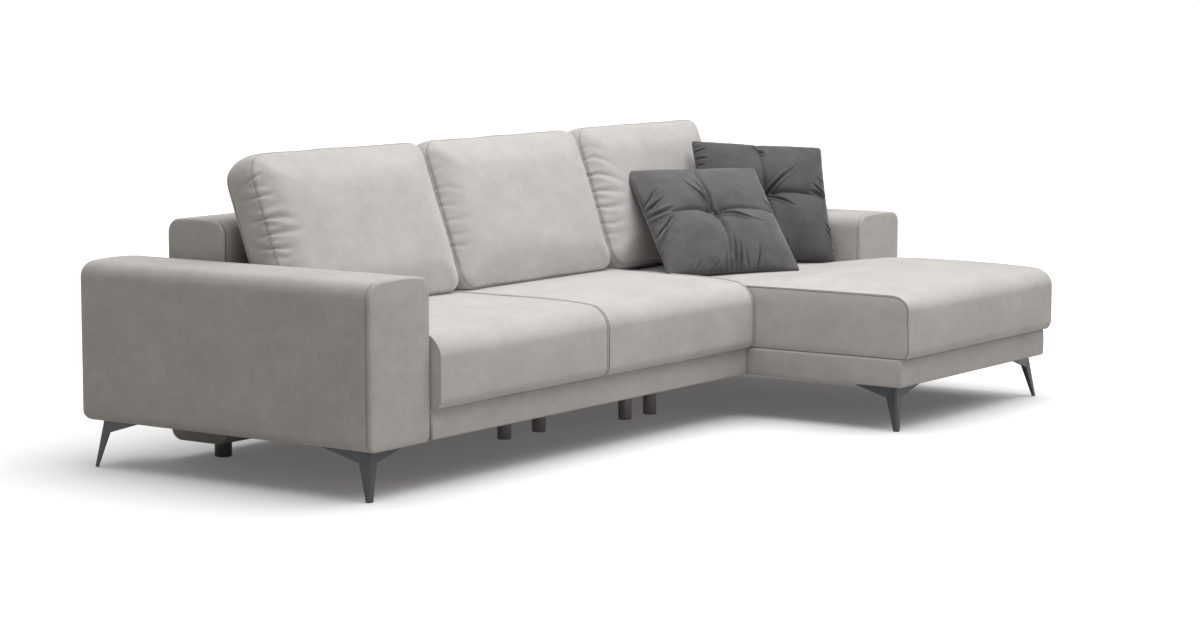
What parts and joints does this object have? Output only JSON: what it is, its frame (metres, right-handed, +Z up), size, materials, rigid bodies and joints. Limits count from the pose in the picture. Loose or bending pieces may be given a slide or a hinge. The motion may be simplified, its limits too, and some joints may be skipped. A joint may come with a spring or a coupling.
{
  "type": "sectional sofa",
  "caption": "Low sectional sofa with a chaise on the right, box arms, loose seat and back cushions, tufted scatter cushions and folded metal legs.",
  "frame": {"origin": "on the floor, under the middle of the whole sofa's outer box", "axes": "+X to the right as seen from in front, towards the chaise; +Y to the rear; +Z up"},
  "size_m": [3.06, 1.761, 0.9584],
  "materials": {
    "upholstery": "light warm grey velour on the arms, the back and the rails",
    "cushion_upholstery": "the same velour on the seat and back cushions, softly mottled",
    "velvet": "dark grey velvet with a sheen",
    "cushion_core": "foam and fibre core",
    "dust_cloth": "black non-woven cloth",
    "webbing": "elastic webbing",
    "felt": "felt pad over the webbing",
    "timber": "rough sawn boards and rails",
    "leg_metal": "anthracite, satin",
    "foot_plastic": "black, moulded",
    "zinc_steel": "zinc plated"
  },
  "bodies": {
    "sofa_base": {"left_arm_cover": "upholstery", "left_arm_front_panel": "upholstery", "left_arm_frame": "timber", "left_arm_dust_cover": "dust_cloth", "right_arm_cover": "upholstery", "right_arm_front_panel": "upholstery", "right_arm_frame": "timber", "right_arm_dust_cover": "dust_cloth", "seat_frame": "timber", "seat_front_rail_cover": "upholstery", "seat_deck": "felt", "seat_dust_cover": "dust_cloth", "seat_webbing_1": "webbing", "seat_webbing_2": "webbing", "chaise_frame": "timber", "chaise_base_cover": "upholstery", "chaise_deck": "felt", "chaise_dust_cover": "dust_cloth", "chaise_webbing": "webbing", "back_cover": "upholstery", "back_frame": "timber", "back_dust_cover": "dust_cloth", "leg_left_front": "leg_metal", "leg_left_rear": "leg_metal", "leg_right_rear": "leg_metal", "leg_chaise_left": "leg_metal", "leg_chaise_right": "leg_metal", "back_foot_left": "foot_plastic", "back_foot_right": "foot_plastic", "support_foot_1": "foot_plastic", "support_foot_2": "foot_plastic", "support_foot_3": "foot_plastic", "support_foot_4": "foot_plastic", "arm_bolt_left_front": "zinc_steel", "arm_bolt_left_rear": "zinc_steel", "arm_bolt_right_front": "zinc_steel", "arm_bolt_right_rear": "zinc_steel", "module_bolt_front": "zinc_steel", "module_bolt_rear": "zinc_steel", "back_bolt_1": "zinc_steel", "back_bolt_2": "zinc_steel", "back_bolt_3": "zinc_steel"},
    "seat_cushion_1": {"seat_cushion_1_cover": "cushion_upholstery", "seat_cushion_1_core": "cushion_core"},
    "seat_cushion_2": {"seat_cushion_2_cover": "cushion_upholstery", "seat_cushion_2_core": "cushion_core"},
    "chaise_cushion": {"chaise_cushion_cover": "cushion_upholstery", "chaise_cushion_core": "cushion_core"},
    "back_cushion_1": {"back_cushion_1_cover": "cushion_upholstery", "back_cushion_1_core": "cushion_core"},
    "back_cushion_2": {"back_cushion_2_cover": "cushion_upholstery", "back_cushion_2_core": "cushion_core"},
    "back_cushion_3": {"back_cushion_3_cover": "cushion_upholstery", "back_cushion_3_core": "cushion_core"},
    "scatter_cushion_rear": {"scatter_cushion_rear_cover": "velvet", "scatter_cushion_rear_core": "cushion_core"},
    "scatter_cushion_front": {"scatter_cushion_front_cover": "velvet", "scatter_cushion_front_core": "cushion_core"}
  },
  "joints": [
    {"name": "seat_cushion_1_lift", "type": "slide", "parent": "sofa_base", "child": "seat_cushion_1", "axis": [0, 0, 1], "range_m": [0, 0.4]},
    {"name": "seat_cushion_2_lift", "type": "slide", "parent": "sofa_base", "child": "seat_cushion_2", "axis": [0, 0, 1], "range_m": [0, 0.4]},
    {"name": "chaise_cushion_lift", "type": "slide", "parent": "sofa_base", "child": "chaise_cushion", "axis": [0, 0, 1], "range_m": [0, 0.4]},
    {"name": "back_cushion_1_lift", "type": "slide", "parent": "seat_cushion_1", "child": "back_cushion_1", "axis": [0, 0, 1], "range_m": [0, 0.3]},
    {"name": "back_cushion_2_lift", "type": "slide", "parent": "seat_cushion_2", "child": "back_cushion_2", "axis": [0, 0, 1], "range_m": [0, 0.3]},
    {"name": "back_cushion_3_lift", "type": "slide", "parent": "chaise_cushion", "child": "back_cushion_3", "axis": [0, 0, 1], "range_m": [0, 0.3]},
    {"name": "scatter_cushion_rear_lift", "type": "slide", "parent": "back_cushion_3", "child": "scatter_cushion_rear", "axis": [0, 0, 1], "range_m": [0, 0.3]},
    {"name": "scatter_cushion_front_lift", "type": "slide", "parent": "scatter_cushion_rear", "child": "scatter_cushion_front", "axis": [0, 0, 1], "range_m": [0, 0.3]}
  ]
}
